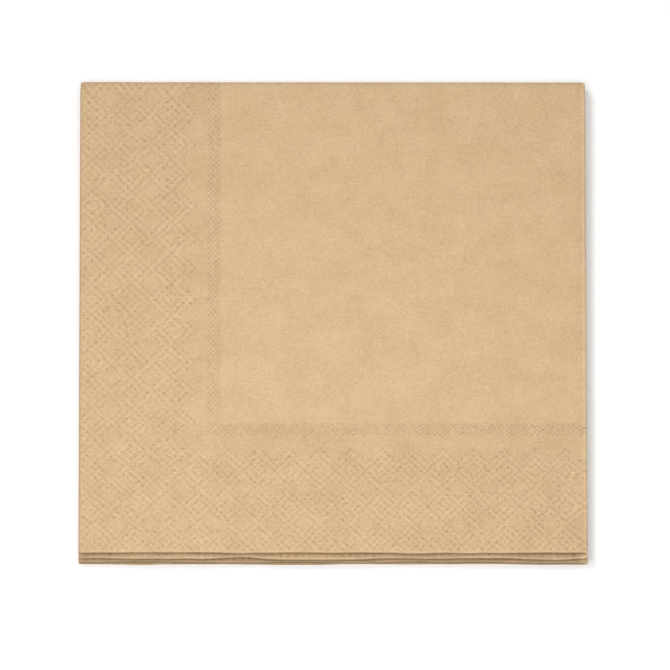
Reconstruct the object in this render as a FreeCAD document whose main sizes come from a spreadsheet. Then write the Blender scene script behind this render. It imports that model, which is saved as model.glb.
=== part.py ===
import FreeCAD, Part
import os
import Sketcher

# Paper lunch napkin: one two-ply sheet, 33 cm square, folded twice to a quarter.
# Millimetres. X runs to the right, Y to the back, Z up. The origin is the middle
# of the footprint, on the surface that the napkin lies on. The first fold is the
# right side, the second fold is the back, and the left and front sides are open.

os.makedirs("parts", exist_ok=True)
doc = FreeCAD.newDocument("paper_napkin")

driving = [
    ("side", "165.0", "folded square, half of the open sheet"),
    ("sheet_thick", "0.4", "both plies of the embossed sheet"),
    ("first_gap", "1.45", "air between the layers that the first fold joins"),
    ("second_gap", "2.0", "air inside the second fold"),
    ("left_step", "0.7", "outer layers end this far inside the inner ones, at the left"),
    ("pair_step", "1.3", "upper two layers end this far behind the lower two, at the front"),
    ("top_step", "0.6", "top layer ends this far behind the second one, at the front"),
    ("mark_step", "1.235", "grid of the embossed border, an eighth of one repeat"),
    ("mark_width", "0.7", "width of an embossed line, measured along the grid"),
    ("mark_space", "0.35", "plain paper between the ends of neighbouring marks and the grid point"),
    ("mark_depth", "0.12", "depth of the embossed lines"),
    ("margin", "1.2", "plain paper between the open edges and the border"),
    ("stripe_start", "41.2", "from the open edges to the embossed stripe"),
    ("stripe_width", "4.1", "width of the embossed stripe"),
    ("stripe_depth", "0.08", "depth of the embossed stripe"),
]
resulting = [
    ("inner", "=second_gap / 2", "middle of the pack to the second layer's underside"),
    ("inner_top", "=inner + sheet_thick", "to its upper side"),
    ("outer", "=inner_top + first_gap", "to the top layer's underside"),
    ("half_height", "=outer + sheet_thick", "to the top of the pack"),
    ("straight", "=side - half_height", "front edge to the start of the second fold"),
    ("fold_centre", "=side - first_gap / 2 - sheet_thick", "left edge to the first fold's centre"),
    ("top_back", "=pair_step + top_step", "front edge to the top layer's own edge"),
    ("repeat", "=8 * mark_step", "one repeat of the border"),
    ("left_start", "=margin + 28 * mark_step + mark_width + mark_space", "where the left border begins"),
    ("flat_across", "=fold_centre - left_step", "flat width of the top layer"),
    ("flat_along", "=straight - top_back", "flat length of the top layer"),
]

sheet = doc.addObject("Spreadsheet::Sheet", "sizes")
for row, (alias, content, note) in enumerate(driving + resulting, start=1):
    sheet.set(f"A{row}", alias)
    sheet.set(f"B{row}", content)
    sheet.set(f"C{row}", note)
    sheet.setAlias(f"B{row}", alias)
doc.recompute()


# A length as a number and as an expression, from pairs of a factor and a size's name.
def length(*terms):
    number = sum(factor * sheet.get(name) for factor, name in terms)
    return number, " + ".join(f"({factor} * sizes.{name})" for factor, name in terms)


ZERO = (0, "")

napkin = doc.addObject("PartDesign::Body", "napkin")
napkin.Label = "napkin"


# A sketch on one of the body's origin planes, moved by bound lengths.
def sketch_on(role, name, *offset):
    sketch = napkin.newObject("Sketcher::SketchObject", name)
    plane = [item for item in napkin.Origin.OriginFeatures if item.Role == role][0]
    sketch.AttachmentSupport = [(plane, "")]
    sketch.MapMode = "FlatFace"
    for axis, (_, expression) in zip("xyz", offset):
        sketch.setExpression(f"AttachmentOffset.Base.{axis}", expression)
    return sketch


# Closed outlines through bound corners. The edges named in bends are half circles that
# bulge to the right, each with True where the outline climbs and False where it falls.
def draw(sketch, outlines, bends=()):
    bends = dict(bends)
    shapes, joints, bound = [], [], []
    for corners in outlines:
        first = len(shapes)
        for index, (across, along) in enumerate(corners):
            edge, following = first + index, first + (index + 1) % len(corners)
            after = corners[(index + 1) % len(corners)]
            start = FreeCAD.Vector(across[0], along[0], 0)
            end = FreeCAD.Vector(after[0][0], after[1][0], 0)
            if index in bends:
                low, high = (start, end) if bends[index] else (end, start)
                outermost = (low + high) / 2 + FreeCAD.Vector((high - low).Length / 2, 0, 0)
                shapes.append(Part.Arc(low, outermost, high))
                bound.append(("DistanceX", edge, 3, across))
            else:
                shapes.append(Part.LineSegment(start, end))
            # An arc always runs upwards, so where the outline falls it is met end first.
            begins = 2 if bends.get(index) is False else 1
            meets = 2 if bends.get((index + 1) % len(corners)) is False else 1
            joints.append(Sketcher.Constraint("Coincident", edge, 3 - begins, following, meets))
            bound.append(("DistanceX", edge, begins, across))
            bound.append(("DistanceY", edge, begins, along))
    sketch.addGeometry(shapes, False)
    sketch.addConstraint(joints)
    tied = [item for item in bound if item[3][1]]
    on_axis = [item for item in bound if not item[3][1]]
    sketch.addConstraint([
        Sketcher.Constraint("PointOnObject", edge, point, -2 if kind == "DistanceX" else -1)
        for kind, edge, point, _ in on_axis
    ])
    place = sketch.ConstraintCount
    sketch.addConstraint([
        Sketcher.Constraint(kind, -1, 1, edge, point, distance[0]) for kind, edge, point, distance in tied
    ])
    for index, (_, _, _, distance) in enumerate(tied):
        sketch.setExpression(f"Constraints[{place + index}]", distance[1])


# A feature of the body made from a sketch, with its bound lengths.
def feature(kind, name, profile, **bound):
    made = napkin.newObject(f"PartDesign::{kind}", name)
    made.Profile = profile
    made.Refine = False
    for key, (_, expression) in bound.items():
        made.setExpression(key, expression)
    return made


# The upper two layers in section, seen from the front: two flat layers and the first
# fold between them. The sketch's level line is the middle of the pack's height.
left_edge = length((-0.5, "side"))
front_edge = length((-0.5, "side"))
fold_start = length((0.5, "side"), (-1, "straight"))
section = sketch_on("XZ_Plane", "pair_section", left_edge, length((1, "half_height")), fold_start)
draw(section, [[
    (length((1, "left_step")), length((1, "half_height"))),
    (length((1, "fold_centre")), length((1, "half_height"))),
    (length((1, "fold_centre")), length((1, "inner"))),
    (ZERO, length((1, "inner"))),
    (ZERO, length((1, "inner_top"))),
    (length((1, "fold_centre")), length((1, "inner_top"))),
    (length((1, "fold_centre")), length((1, "outer"))),
    (length((1, "left_step")), length((1, "outer"))),
]], {1: False, 5: True})
upper_pair = feature("Pad", "upper_pair", section, Length=length((1, "straight")))
doc.recompute()

# The second fold turns that section over at the back, and the lower two layers return.
second_fold = feature("Revolution", "second_fold", section)
second_fold.ReferenceAxis = (section, ["H_Axis"])
second_fold.Angle = 180
second_fold.Reversed = True
doc.recompute()
lower_pair = napkin.newObject("PartDesign::Mirrored", "lower_pair")
lower_pair.Originals = [upper_pair]
lower_pair.MirrorPlane = (section, ["H_Axis"])
napkin.Tip = lower_pair
doc.recompute()

# At the front the layers end in steps, as a hand-folded sheet does.
top_level = length((2, "half_height"))
for name, reach, depth in [
    ("pair_edge", length((1, "pair_step")), length((1, "half_height"))),
    ("top_edge", length((1, "top_back")), length((1, "sheet_thick"), (0.5, "first_gap"))),
]:
    strip = sketch_on("XY_Plane", f"{name}_sketch", left_edge, front_edge, top_level)
    right = length((1, "side"))
    draw(strip, [[(ZERO, ZERO), (right, ZERO), (right, reach), (ZERO, reach)]])
    feature("Pocket", name, strip, Length=depth)
    doc.recompute()

# The embossed stripe runs along both open sides, inside the border, as far as the folds.
# Its sketch and the border's are measured from the top layer's own open corner.
top_corner = [length((-0.5, "side"), (1, "left_step")), length((-0.5, "side"), (1, "top_back")), top_level]
stripe = sketch_on("XY_Plane", "stripe_sketch", *top_corner)
near = length((1, "stripe_start"))
far = length((1, "stripe_start"), (1, "stripe_width"))
right_end, back_end = length((1, "flat_across")), length((1, "flat_along"))
draw(stripe, [[
    (near, near), (right_end, near), (right_end, far),
    (far, far), (far, back_end), (near, back_end),
]])
feature("Pocket", "stripe", stripe, Length=length((1, "stripe_depth")))
doc.recompute()

# The embossed border, as marks on a grid. One repeat is 8 columns wide and 28 rows deep,
# and its rows are counted from the open edge.
SPACE = ((1, "mark_space"),)
WIDTH = ((1, "mark_width"),)
WIDE = ((4, "mark_step"), (-1, "mark_space"))
NARROW = ((3, "mark_step"), (-1, "mark_space"))
CORE = ((1, "mark_step"),)


def scaled(terms, factor):
    return tuple((factor * own, name) for own, name in terms)


# The marks are lists of corners, each a column and a row of the grid with extra terms.
def diamond(column, row, reach):
    back = scaled(reach, -1)
    left, right = (column, back, row, ()), (column, reach, row, ())
    low, high = (column, (), row, back), (column, (), row, reach)
    return [left, high, right, low]


def ring(column, row, reach):
    return [diamond(column, row, reach), diamond(column, row, reach + scaled(WIDTH, -1))]


# A line that climbs from the repeat's side to its middle and falls again.
def chevron(row):
    low = scaled(WIDTH, -1)
    return [[
        (0, SPACE, row, SPACE), (4, (), row + 4, ()), (8, scaled(SPACE, -1), row, SPACE),
        (8, scaled(SPACE, -1), row, SPACE + low), (4, (), row + 4, low), (0, SPACE, row, SPACE + low),
    ]]


# Filled diamonds in wide rings, plain diamonds in narrow rings between them, and the
# zigzag that ends the border inwards, with another at the open edge.
marks = chevron(24) + chevron(2)
for filled_row, plain_row in ((22, 17), (12, 7)):
    marks += ring(4, filled_row, WIDE) + [diamond(4, filled_row, CORE)] + ring(8, plain_row, NARROW)

for name, start, flat, axis in [
    ("front_border", "margin", "flat_across", "H_Axis"),
    ("left_border", "left_start", "flat_along", "V_Axis"),
]:
    cell = sketch_on("XY_Plane", f"{name}_repeat", *top_corner)
    outlines = []
    for mark in marks:
        corners = []
        for column, along_terms, row, deep_terms in mark:
            along = length((1, start), (column, "mark_step"), *along_terms)
            deep = length((1, "margin"), (row, "mark_step"), *deep_terms)
            corners.append((along, deep) if axis == "H_Axis" else (deep, along))
        outlines.append(corners)
    draw(cell, outlines)
    first = feature("Pocket", f"{name}_marks", cell, Length=length((1, "mark_depth")))
    doc.recompute()
    row_of_marks = napkin.newObject("PartDesign::LinearPattern", name)
    row_of_marks.Originals = [first]
    row_of_marks.Refine = False
    row_of_marks.Direction = (cell, [axis])
    row_of_marks.Mode = "Spacing"
    row_of_marks.setExpression("Offset", "sizes.repeat")
    room = f"sizes.{flat} - sizes.{start} - 3 * sizes.mark_step"
    row_of_marks.setExpression("Occurrences", f"floor(({room}) / sizes.repeat)")
    napkin.Tip = row_of_marks
    doc.recompute()

for item in doc.Objects:
    if "Invalid" in item.State or "Error" in item.State:
        raise RuntimeError(f"{item.Label} did not build: {item.State}")
shape = napkin.Shape
if shape.isNull() or not shape.isValid() or len(shape.Solids) != 1:
    raise RuntimeError("the napkin is not one valid solid")
shape.exportStep(f"parts/{napkin.Label}.step")
print(f"{napkin.Label}: {sheet.get('side')} mm square, {top_level[0]:.2f} mm high, {shape.Volume:.0f} mm3")
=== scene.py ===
import bpy, bmesh, math
from bisect import bisect_right
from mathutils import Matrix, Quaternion, Vector, noise


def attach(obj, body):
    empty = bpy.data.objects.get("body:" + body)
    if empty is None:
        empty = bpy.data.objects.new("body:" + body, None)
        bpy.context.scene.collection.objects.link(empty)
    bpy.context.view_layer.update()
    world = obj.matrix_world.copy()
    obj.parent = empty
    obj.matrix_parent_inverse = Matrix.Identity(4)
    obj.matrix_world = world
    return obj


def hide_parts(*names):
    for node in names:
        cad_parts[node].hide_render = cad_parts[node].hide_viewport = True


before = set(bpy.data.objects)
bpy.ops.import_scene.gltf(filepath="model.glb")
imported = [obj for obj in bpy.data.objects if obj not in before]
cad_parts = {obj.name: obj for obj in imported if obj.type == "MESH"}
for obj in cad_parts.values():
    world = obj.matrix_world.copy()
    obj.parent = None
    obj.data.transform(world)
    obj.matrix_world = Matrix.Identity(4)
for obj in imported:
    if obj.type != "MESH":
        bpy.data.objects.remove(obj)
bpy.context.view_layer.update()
scene = bpy.context.scene
scene.view_settings.view_transform = "Standard"
mm = 0.001
mapScale = 0.01                     # how long a mm is on the sheet's UV map, and a cell on the other


class Signal:                       # a number on its way through the shader
    def __init__(self, paint, socket):
        self.paint = paint
        self.socket = socket

    def math(self, operation, *others):
        sockets = dict(enumerate((self, *others)))
        return self.paint.node("ShaderNodeMath", {"operation": operation}, sockets)

    def part(self, name):           # another output of the same node
        return Signal(self.paint, self.socket.node.outputs[name])

    def __add__(self, other):
        return self.math("ADD", other)

    def __sub__(self, other):
        return self.math("SUBTRACT", other)

    def __mul__(self, other):
        return self.math("MULTIPLY", other)

    def __truediv__(self, other):
        return self.math("DIVIDE", other)

    def __rsub__(self, other):
        return self.paint.node("ShaderNodeMath", {"operation": "SUBTRACT"}, {0: other, 1: self})

    __radd__ = __add__
    __rmul__ = __mul__


class Paint:                        # one node tree, of a material or of the world
    def __init__(self, owner):
        owner.use_nodes = True
        self.tree = owner.node_tree
        self.tree.nodes.clear()

    def node(self, kind, settings=None, sockets=None, out=0):
        made = self.tree.nodes.new(kind)
        for name, value in (settings or {}).items():
            setattr(made, name, value)
        for name, value in (sockets or {}).items():
            if isinstance(value, Signal):
                self.tree.links.new(value.socket, made.inputs[name])
            else:
                made.inputs[name].default_value = value
        return Signal(self, made.outputs[out]) if made.outputs else None

    def mix(self, factor, first, second, blend="MIX"):      # of two colours
        return self.node("ShaderNodeMix", {"data_type": "RGBA", "blend_type": blend},
                         {0: factor, 6: first, 7: second}, out=2)

    def spread(self, value, low, high, bottom=0.0, top=1.0, smooth=True):
        kind = "SMOOTHSTEP" if smooth else "LINEAR"
        return self.node("ShaderNodeMapRange", {"interpolation_type": kind}, {
            "Value": value, "From Min": low, "From Max": high, "To Min": bottom, "To Max": top})


napkin = {
    # lengths in mm
    "thickness": 0.36,              # both plies together
    "height": 6.5,                  # of the folded napkin
    "sides": [-81.8, -81.95],       # left edges of the outer and the inner layers
    "fronts": [-80.6, -82.1, -82.4, -82.5],     # front edges, from the top layer down
    "foldX": 81.375,                # where the first fold starts to turn
    "foldY": 79.25,                 # where the second fold starts to turn
    "secondTurn": 6.4,              # paper in the second fold
    "middle": 3.25,                 # height of the second fold's middle
    "outerReach": 3.05,             # from that middle to the outer layers
    "innerReach": 1.2,              # and to the inner ones
    "corner": 1.7,                  # radius at the left of the second fold
    # the border's cells, two steps of the dots each: edge border, gap, stripe, gap, the rest
    "columnCells": [2.572, 41.3, 43.65, 46.0, 48.02, 2.4825],
    "rowCells": [2.44, 40.1, 42.35, 44.6, 46.7, 2.675],
    "borderCells": 15,
    "stripeCell": 16,               # where the stripe begins
    "turnCells": [8, 12],           # round the first and the second fold
    "plainCells": 41,               # across a panel that is not on top
    "borderCuts": 3,                # finer cells for the dots
    "stripeCuts": 5,
    # the border's diamonds, in dot steps
    "pitchAlong": 8,                # from one to the next along the edge
    "pitchInwards": 10,             # and from one row to the next
    "firstRow": 3,                  # where the first row's middles stand
    "lastRow": 23,
    "columnPeak": 6,                # where a point of the front border stands
    "rowPeak": 4,                   # and one of the left border
    "reach": 6.4,                   # from a diamond's middle to its last ring
    # how deep the paper is pressed in
    "dotDepth": 0.1,
    "lineDepth": 0.03,              # on the rings of the diamonds, between their dots
    "stripeDepth": 0.1,
    "depthRange": 0.35,             # how much these differ
    "depthWave": 2.1,               # and over how many mm
    "drift": 0.55,                  # how unevenly the border's dots stand
    "driftWave": 2.6,
    "stripeDrift": 0.15,            # share of it in the stripe and the field
    # slow waves: height, length, seed
    "sag": [(0.16, 38, 1.0), (0.1, 17, 5.0)],               # of the whole napkin
    "looseness": [(0.5, 21, 11.0), (0.4, 8, 31.0)],         # of each layer, up and down
    "raggedness": [(0.9, 19, 51.0), (0.25, 7, 71.0)],       # of each front edge, in and out
    "looseReach": 25,               # how far they go from the open edges
    "heldBelow": 3,                 # near the table the layers lie flatter
    "topCalm": 0.6,                 # share of the looseness in the top layer
    "raggedShare": [0.4, 0.6, 1, 0.5],      # of the raggedness, from the lowest layer up
    "lowestLayer": 0.2,
    "layerPitch": 2.03,
}


def ladder(facts, cells, length):   # the lines along one panel, from its open edge to its fold
    edge, marks, rest = cells[0], cells[1:5], cells[5]
    places = [edge * step for step in range(facts["borderCells"] + 1)] + marks
    while places[-1] + 1.4 * rest < length:
        places.append(places[-1] + rest)
    return places + [length]


def evenly(start, length, count):   # and those along a fold or a plain panel
    return [start + length * step / count for step in range(1, count + 1)]


def between(places, index):         # from a line's number to its place
    lower = max(0, min(len(places) - 2, int(index + 1e-6)))
    return places[lower] + (index - lower) * (places[lower + 1] - places[lower])


def cellOf(places, value):          # and back
    lower = max(0, min(len(places) - 2, bisect_right(places, value) - 1))
    return lower + (value - places[lower]) / (places[lower + 1] - places[lower])


def nearestOf(value, first, pitch):     # how far the next of a row of points is
    return abs((value - first + pitch / 2) % pitch - pitch / 2)


def embossing(facts, column, row):  # how deep the top panel is pressed in at a point of its cells
    stepX, stepY = 2 * column, 2 * row
    if stepY < stepX:
        depth, run, peak = stepY, stepX, facts["columnPeak"]
    else:
        depth, run, peak = stepX, stepY, facts["rowPeak"]
    inwards = max(nearestOf(depth, facts["firstRow"], facts["pitchInwards"]), depth - facts["lastRow"])
    ring = nearestOf(run, peak, facts["pitchAlong"]) + inwards      # steps from a diamond's middle
    if depth > 0.9 and ring < facts["reach"]:
        onDot = abs(stepX - round(stepX)) + abs(stepY - round(stepY)) < 0.01
        if onDot and round(stepX + stepY) % 2:
            return facts["dotDepth"]
        if abs(ring % 2 - 1) > 0.9:
            return facts["lineDepth"]
    # the stripe has six small steps to a cell, and dots on every other one
    depth, run = round(6 * (min(column, row) - facts["stripeCell"])), round(6 * max(column, row))
    if 0 < depth < 10 and depth % 2 and run % 2 == 0 and (depth // 2 + run // 2) % 2 == 0:
        return facts["stripeDepth"]
    return 0


def wave(x, y, size, seed):         # a slow wave from -1 to 1
    return noise.noise(Vector((x / size, y / size, seed)))


def waves(parts, x, y, layer=0):    # the sum of some, other ones in each layer
    return sum(height * wave(x, y, size, seed + 7 * layer) for height, size, seed in parts)


def paperLengths(facts):            # across: top panel, first fold, panel under it; then along
    acrossTop = facts["foldX"] - facts["sides"][0]
    firstTurn = math.pi * (facts["outerReach"] - facts["innerReach"]) / 2
    acrossUnder = facts["foldX"] - facts["sides"][1]
    alongTop = facts["foldY"] - facts["fronts"][0]
    return acrossTop, firstTurn, acrossUnder, alongTop


def folded(facts, across, along, lift):     # where a point of the flat sheet comes to lie
    acrossTop, firstTurn, acrossUnder, alongTop = paperLengths(facts)
    outer, inner = facts["outerReach"], facts["innerReach"]
    # the profile: top panel, first fold, panel under it
    turn = min(1, max(0, (across - acrossTop) / firstTurn))
    if turn <= 0:
        x, reach, left = facts["sides"][0] + across, outer + lift, across
    elif turn < 1:
        radius, angle = firstTurn / math.pi, math.pi * turn
        x = facts["foldX"] + (radius + lift) * math.sin(angle)
        reach = (outer + inner) / 2 + (radius + lift) * math.cos(angle)
        left = acrossTop + radius * min(angle, math.pi - angle)
    else:
        x = facts["foldX"] - (across - acrossTop - firstTurn)
        reach, left = inner - lift, x - facts["sides"][1]
    # the sweep: upper layers, second fold, layers beneath
    share = min(1, max(0, (outer - reach) / (outer - inner)))
    fronts, foldY, turnY = facts["fronts"], facts["foldY"], facts["secondTurn"]
    upperFront = fronts[0] + share * (fronts[1] - fronts[0])
    lowerFront = fronts[3] + share * (fronts[2] - fronts[3])
    if along <= alongTop:
        y = upperFront + along / alongTop * (foldY - upperFront)
        z, front = facts["middle"] + reach, along
    elif along < alongTop + turnY:
        angle = math.pi * (along - alongTop) / turnY
        y = foldY + reach * math.sin(angle)
        z = facts["middle"] + reach * math.cos(angle)
        front = alongTop + reach * min(angle, math.pi - angle)
    else:
        rest = (along - alongTop - turnY) / alongTop
        y = foldY - rest * (foldY - lowerFront)
        z, front = facts["middle"] - reach, alongTop * (1 - rest)
    return x, y, z, left, front


def settled(facts, x, y, z, left, front):   # with the layers' slow waves, stronger at the open edges
    layer = round((z - facts["lowestLayer"]) / facts["layerPitch"])
    calm = facts["topCalm"] if layer == 3 else 1
    loose = calm * max(0, 1 - min(left, front) / facts["looseReach"]) * min(1, z / facts["heldBelow"])
    ragged = max(0, 1 - front / facts["looseReach"]) * facts["raggedShare"][layer]
    z += z / facts["height"] * waves(facts["sag"], x, y)
    z += loose * waves(facts["looseness"], x, y, layer)
    y += ragged * waves(facts["raggedness"], x, y, layer)
    # the corner where the second fold meets the open side is round
    radius = facts["corner"]
    corner = Vector((x - facts["sides"][0] - radius, y - facts["foldY"] - facts["middle"] + radius))
    if corner.x < 0 < corner.y and corner.length > radius:
        x -= corner.x * (1 - radius / corner.length)
        y -= corner.y * (1 - radius / corner.length)
    return Vector((x, y, z))


def makeNapkin(facts):
    acrossTop, firstTurn, acrossUnder, alongTop = paperLengths(facts)
    topLines = ladder(facts, facts["columnCells"], acrossTop)
    sideLines = ladder(facts, facts["rowCells"], alongTop)
    lastColumn, lastRow = len(topLines) - 1, len(sideLines) - 1
    columns = topLines + evenly(acrossTop, firstTurn, facts["turnCells"][0])
    columns += evenly(acrossTop + firstTurn, acrossUnder, facts["plainCells"])
    rows = sideLines + evenly(alongTop, facts["secondTurn"], facts["turnCells"][1])
    rows += evenly(alongTop + facts["secondTurn"], alongTop, facts["plainCells"])

    mesh = bmesh.new()
    bmesh.ops.create_grid(mesh, x_segments=len(columns) - 1, y_segments=len(rows) - 1, size=1)
    for vert in mesh.verts:         # now one unit to a cell
        vert.co.x = round((vert.co.x + 1) / 2 * (len(columns) - 1))
        vert.co.y = round((vert.co.y + 1) / 2 * (len(rows) - 1))
    bmesh.ops.solidify(mesh, geom=mesh.faces[:], thickness=1)
    outside = max(vert.co.z for vert in mesh.verts) - 0.01

    def onTop(x, y):
        return x < lastColumn and y < lastRow

    def inBorder(x, y):             # and the round corner at its end
        return onTop(x, y) and min(x, y) < facts["borderCells"] or (
            x < 1 and lastRow < y < lastRow + facts["turnCells"][1])

    def inStripe(x, y):
        return onTop(x, y) and facts["stripeCell"] < min(x, y) < facts["stripeCell"] + 2

    def finer(wanted, cuts):        # on the outside only
        edges = set()
        for face in mesh.faces:
            middle = face.calc_center_median()
            if middle.z > outside and wanted(middle.x, middle.y):
                edges.update(face.edges)
        bmesh.ops.subdivide_edges(mesh, edges=list(edges), cuts=cuts, use_grid_fill=True)

    finer(inBorder, facts["borderCuts"])
    finer(inStripe, facts["stripeCuts"])
    print("sheet of", len(mesh.verts), "points")

    sheetMap = mesh.loops.layers.uv.new("sheet")
    cellMap = mesh.loops.layers.uv.new("cells")
    flat, cells = {}, {}
    for vert in mesh.verts:
        column, row = vert.co.x, vert.co.y
        across, along = between(columns, column), between(rows, row)
        lift = facts["thickness"] / 2
        if vert.co.z < outside:
            lift = -lift
        elif onTop(column, row):
            depth = embossing(facts, column, row)
            lift -= depth * (1 + facts["depthRange"] * wave(across, along, facts["depthWave"], 3.0))
        x, y, z, left, front = folded(facts, across, along, lift)
        if onTop(column, row):
            nearest = min(column, row)
            inwards = max(facts["stripeDrift"], facts["borderCells"] + 0.5 - nearest)
            drift = facts["drift"] * min(1, nearest, lastColumn - column, lastRow - row, inwards)
            x += drift * wave(across, along, facts["driftWave"], 91.0)
            y += drift * wave(across, along, facts["driftWave"], 95.0)
        flat[vert] = (across * mapScale, along * mapScale)
        cells[vert] = (cellOf(topLines, left) * mapScale, cellOf(sideLines, front) * mapScale)
        vert.co = settled(facts, x, y, z, left, front) * mm
    for face in mesh.faces:
        for loop in face.loops:
            loop[sheetMap].uv = flat[loop.vert]
            loop[cellMap].uv = cells[loop.vert]
        face.smooth = True
    bmesh.ops.recalc_face_normals(mesh, faces=mesh.faces[:])
    data = bpy.data.meshes.new("napkinSheet")
    mesh.to_mesh(data)
    mesh.free()
    made = bpy.data.objects.new("napkinSheet", data)
    scene.collection.objects.link(made)
    return made


paper = {
    "brown": (0.700, 0.492, 0.286, 1),
    "brownShare": 0.66,             # the rest is cloudy, between pale and deep
    "pale": (0.735, 0.528, 0.317, 1),
    "deep": (0.655, 0.452, 0.257, 1),
    "tint": {"Red": 0.86, "Green": 1, "Blue": 1.05},        # how much a shade takes of each
    "roughness": 0.92,
    "gloss": 0.15,
    # shades, as shares of the colour
    "pitShade": 0.14,               # how much darker the pressed dots are: darker pressed paper and painted shade in the pits
    "ringShade": 0.042,             # darker on the diamonds' rings, partly pressed paper and partly painted shade, with a painted highlight between them
    "ridge": 0.03,                  # painted highlight on the paper round the dots
    "zoneShade": 0.052,             # darker from the stripe outwards
    "streaks": 0.5,                 # of the cut edges under the top layer
    "fineStrength": 1.15,           # of the stripe's dots, next to the border's
    "unevenness": [0.25, 1.6],      # faintest and strongest of the dots
    # light edges: how much lighter, then where it begins and ends to fade, on a map
    "cutEdgeHighlight": [0.15, 0.0012, 0.0032],      # painted highlight along the front cut edges
    "leftEdge": [-0.09, 0.001, 0.003],      # the left ones are darker
    "leftLight": [0.02, 0.16, 0.2],         # the left border is a little less dark
    "foldHighlight": [0.4, 0.012, 0.025],        # painted highlight on the first fold
    "foldPlace": 1.652,
    "streakZone": [1, 0.004, 0.01],
    "streakTop": 5.4,               # height of the top layer's underside, mm
    "streakScale": 1300,
    # patterns, in dot steps
    "jitter": [0.2, 0.5],           # how unevenly the dots stand: all of them, and the border's more
    "dotFade": [0.0, 0.52],
    "ridgeFade": [0.55, 0.95],
    "fineFade": [0.1, 0.62],
    "fineRidgeFade": [0.55, 0.9],
    "zoneFade": [9, 13],
    "dotReach": 6.5,                # from a diamond's middle
    "ridgeReach": 6.6,
    "ringReach": 7.0,
    "ringStart": 1.9,               # where a ring is darkest
    "ringTurn": 2.86,               # radians of the rings' wave to a step
    # bumps in mm
    "dotBump": -0.06,
    "fineBump": -0.08,
    "ringBump": -0.02,
    "ridgeBump": 0.02,
    # grains: cells in 100 mm
    "cloudGrain": 9,
    "unevenGrain": 47,
    "jitterGrain": 80,
    # grain of the tissue: cells, stretch along the crepe, shade, height in mm
    "grains": [(12, 1.0, 0.07, 0.08), (34, 0.8, 0.08, 0.05), (75, 0.7, 0.10, 0.05),
               (150, 0.6, 0.19, 0.05), (290, 0.6, 0.34, 0.03)],
}


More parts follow.
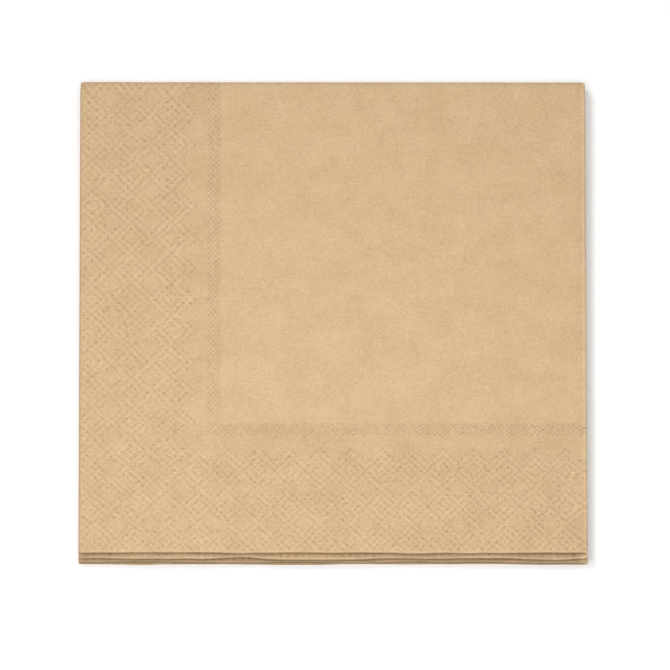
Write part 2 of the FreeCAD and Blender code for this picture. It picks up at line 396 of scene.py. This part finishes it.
def napkinPaper(facts, sheetFacts):
    material = bpy.data.materials.new("kraftTissue")
    paint = Paint(material)
    sheetPlace = paint.node("ShaderNodeUVMap", {"uv_map": "sheet"})
    cellPlace = paint.node("ShaderNodeUVMap", {"uv_map": "cells"})
    ownPlace = paint.node("ShaderNodeTexCoord", out="Object")

    def noiseAt(place, scale, stretch, detail):
        mapped = paint.node("ShaderNodeVectorMath", {"operation": "MULTIPLY"}, {
            0: place, 1: (stretch, 1, 1)})
        return paint.node("ShaderNodeTexNoise", {}, {"Vector": mapped, "Scale": scale, "Detail": detail})

    def grain(scale, stretch=1.0, detail=0.0):
        return noiseAt(sheetPlace, scale, stretch, detail)

    def split(place, out="X"):
        return paint.node("ShaderNodeSeparateXYZ", {}, {"Vector": place}, out=out)

    def fading(value, fade):
        strength, begin, end = fade
        return paint.spread(value, begin, end, strength, 0)

    def offDot(slant, counter):     # steps from the next dot, from the places on both slanted lines
        offSlant, offCounter = slant - slant.math("ROUND"), counter - counter.math("ROUND")
        return ((offSlant * offSlant + offCounter * offCounter) * 2).math("SQRT")

    fromLeft = split(cellPlace)
    fromFront = fromLeft.part("Y")
    toSteps = 2 / mapScale          # two steps to a cell
    shift = grain(facts["jitterGrain"]) - 0.5
    allJitter, borderJitter = facts["jitter"]
    plainX, plainY = fromLeft * toSteps + shift * allJitter, fromFront * toSteps - shift * allJitter
    across, along = plainX + shift * borderJitter, plainY - shift * borderJitter

    # the border's dots stand on every other step, like the black squares of a board
    slant, counter = (across + along + 1) / 2, (across - along + 1) / 2
    distance = offDot(slant, counter)
    slantDot, counterDot = slant.math("ROUND"), counter.math("ROUND")
    stepX, stepY = slantDot + counterDot - 1, slantDot - counterDot

    def ringOf(depth, run, peak):   # of one border: steps from the next diamond's middle
        inwards = (depth - sheetFacts["firstRow"]).math("PINGPONG", sheetFacts["pitchInwards"] / 2)
        inwards = inwards.math("MAXIMUM", depth - sheetFacts["lastRow"])
        return inwards + (run - peak).math("PINGPONG", sheetFacts["pitchAlong"] / 2)

    def mitred(x, y):               # of the front border and the left one, which meet at a mitre
        nearFront = y.math("LESS_THAN", x)
        front, left = ringOf(y, x, sheetFacts["columnPeak"]), ringOf(x, y, sheetFacts["rowPeak"])
        return nearFront * front + (1 - nearFront) * left

    def within(ring, reach, x, y):
        return ring.math("LESS_THAN", reach) * x.math("MINIMUM", y).math("GREATER_THAN", 0.4)

    onDot = within(mitred(stepX, stepY), facts["dotReach"], stepX, stepY)
    ring = mitred(across, along)
    onRing = within(ring, facts["ringReach"], across, along)
    rings = ((ring - facts["ringStart"]) * facts["ringTurn"]).math("COSINE") * onRing

    # the stripe's finer dots, six small steps to a cell
    nearest = plainX.math("MINIMUM", plainY) * 3 - (6 * sheetFacts["stripeCell"] + 1)
    farthest = plainX.math("MAXIMUM", plainY) * 3
    fineDistance = offDot((nearest + farthest) / 4, (nearest - farthest) / 4)
    inStripe = nearest.math("GREATER_THAN", -1) * nearest.math("LESS_THAN", 9)

    uneven = paint.spread(grain(facts["unevenGrain"], detail=1.5), 0.3, 0.7, *facts["unevenness"],
                          smooth=False)
    dots = paint.spread(distance, *facts["dotFade"], 1, 0) * onDot * uneven
    fine = paint.spread(fineDistance, *facts["fineFade"], 1, 0) * inStripe * uneven * facts["fineStrength"]
    ridges = paint.spread(distance, *facts["ridgeFade"]) * within(ring, facts["ridgeReach"], across, along)
    ridges = ridges + paint.spread(fineDistance, *facts["fineRidgeFade"]) * inStripe
    rings = rings * uneven
    zone = paint.spread(nearest, *facts["zoneFade"], 1, 0)

    # painted highlights on the front cut edges and the first fold, darker left edges, a lighter left
    # border, and streaks on the cut edges under the top layer
    fromFold = (split(sheetPlace) - facts["foldPlace"]).math("ABSOLUTE")
    edge = fading(fromFront, facts["cutEdgeHighlight"]) + fading(fromLeft, facts["leftEdge"])
    edge = edge + fading(fromLeft, facts["leftLight"]) + fading(fromFold, facts["foldHighlight"])
    below = split(ownPlace, "Z").math("LESS_THAN", facts["streakTop"] * mm)
    streaks = noiseAt(ownPlace, facts["streakScale"], 0.1, 1.0) - 0.5
    edge = edge + streaks * (below * fading(fromFront, facts["streakZone"])) * facts["streaks"]

    # tissue: cloudy pulp, crepe across the sheet and short fibres
    # darker pressed dots and rings, partly painted shade, and painted highlights on the ridges, the cut
    # edges and the first fold
    tone = (dots + fine) * facts["pitShade"] + rings * facts["ringShade"]
    tone = tone - ridges * facts["ridge"] + zone * facts["zoneShade"] - edge
    height = dots * facts["dotBump"] + fine * facts["fineBump"]
    height = height + rings * facts["ringBump"] + ridges * facts["ridgeBump"]
    for scale, stretch, shade, lift in facts["grains"]:
        layer = grain(scale, stretch) - 0.5
        tone = tone - layer * shade
        height = height + layer * lift
    clouds = paint.spread(grain(facts["cloudGrain"], detail=2.0), 0.35, 0.65)
    colour = paint.mix(clouds, facts["deep"], facts["pale"])
    colour = paint.mix(facts["brownShare"], colour, facts["brown"])
    shade = paint.node("ShaderNodeCombineColor", {}, {
        name: 1 - tone * share for name, share in facts["tint"].items()})
    colour = paint.mix(1.0, colour, shade, blend="MULTIPLY")
    bump = paint.node("ShaderNodeBump", {}, {"Strength": 1.0, "Distance": mm, "Height": height})
    shader = paint.node("ShaderNodeBsdfPrincipled", {}, {
        "Base Color": colour, "Roughness": facts["roughness"],
        "Specular IOR Level": facts["gloss"], "Normal": bump})
    paint.node("ShaderNodeOutputMaterial", {}, {"Surface": shader})
    return material


sheet = makeNapkin(napkin)
sheet.data.materials.append(napkinPaper(paper, napkin))
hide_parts("napkin")
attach(sheet, "root")
print("napkin made")


studio = {
    "floorHalf": 3.0,
    "floorColour": (0.78, 0.78, 0.78, 1),
    # the table is white where it is seen, with no more light on the napkin
    "floorGlow": 0.34,
    "farGlow": 0.8,
    "glowFade": [0.2, 0.8],         # where the one turns into the other, m from the middle
    "ambient": 0.35,
    # name, place, size and power
    "lamps": [("keyLight", (-1.5, 1.4, 3.0), 1.2, 50), ("frontFill", (-0.03, -0.12, 0.35), 0.15, 0.535)],
}


def seenRays(paint):                # 1 for the camera's rays, mirrored ones too
    camera = paint.node("ShaderNodeLightPath", out="Is Camera Ray")
    mirrored = camera.part("Is Glossy Ray").math("MAXIMUM", camera.part("Is Transmission Ray"))
    return camera.math("MAXIMUM", mirrored)


def makeStudio(facts):
    mesh = bmesh.new()
    bmesh.ops.create_grid(mesh, x_segments=1, y_segments=1, size=facts["floorHalf"])
    data = bpy.data.meshes.new("floor")
    mesh.to_mesh(data)
    mesh.free()
    floor = bpy.data.objects.new("floor", data)
    scene.collection.objects.link(floor)
    white = bpy.data.materials.new("whiteTable")
    paint = Paint(white)
    matt = paint.node("ShaderNodeBsdfDiffuse", {}, {"Color": facts["floorColour"]})
    distance = paint.node("ShaderNodeVectorMath", {"operation": "LENGTH"}, {
        0: paint.node("ShaderNodeTexCoord", out="Object")}, out="Value")
    glowing = paint.spread(distance, *facts["glowFade"], facts["floorGlow"], facts["farGlow"])
    glow = paint.node("ShaderNodeEmission", {}, {"Strength": seenRays(paint) * glowing})
    shader = paint.node("ShaderNodeAddShader", {}, {0: matt, 1: glow})
    paint.node("ShaderNodeOutputMaterial", {}, {"Surface": shader})
    data.materials.append(white)

    world = bpy.data.worlds.new("studio")
    scene.world = world
    paint = Paint(world)
    seen = seenRays(paint)
    strength = seen + (1 - seen) * facts["ambient"]
    shader = paint.node("ShaderNodeBackground", {}, {"Color": (1, 1, 1, 1), "Strength": strength})
    paint.node("ShaderNodeOutputWorld", {}, {"Surface": shader})

    for name, place, size, power in facts["lamps"]:
        lamp = bpy.data.lights.new(name, "AREA")
        lamp.shape = "SQUARE"
        lamp.size = size
        lamp.energy = power
        holder = bpy.data.objects.new(name, lamp)
        holder.location = place
        holder.rotation_mode = "QUATERNION"
        holder.rotation_quaternion = (-Vector(place)).to_track_quat("-Z", "Y")
        scene.collection.objects.link(holder)


view = {
    # angles in degrees
    "azimuth": -0.698,
    "elevation": 70.214,
    "roll": -0.693,
    "distance": 6.0,
    "aim": (0.971 * mm, -3.677 * mm, 0),
    "lens": 993.31,
    "sensor": 36,
    "farthest": 20,
}


def makeCamera(facts):
    camera = bpy.data.objects.new("camera", bpy.data.cameras.new("camera"))
    turn, rise = math.radians(facts["azimuth"]), math.radians(facts["elevation"])
    back = Vector((math.sin(turn) * math.cos(rise), -math.cos(turn) * math.cos(rise), math.sin(rise)))
    camera.location = Vector(facts["aim"]) + back * facts["distance"]
    camera.rotation_mode = "QUATERNION"
    roll = Quaternion((0, 0, 1), -math.radians(facts["roll"]))
    camera.rotation_quaternion = (-back).to_track_quat("-Z", "Y") @ roll
    camera.data.sensor_width = facts["sensor"]
    camera.data.lens = facts["lens"]
    camera.data.clip_end = facts["farthest"]
    scene.collection.objects.link(camera)
    scene.camera = camera


makeStudio(studio)
makeCamera(view)
print("studio and camera made")
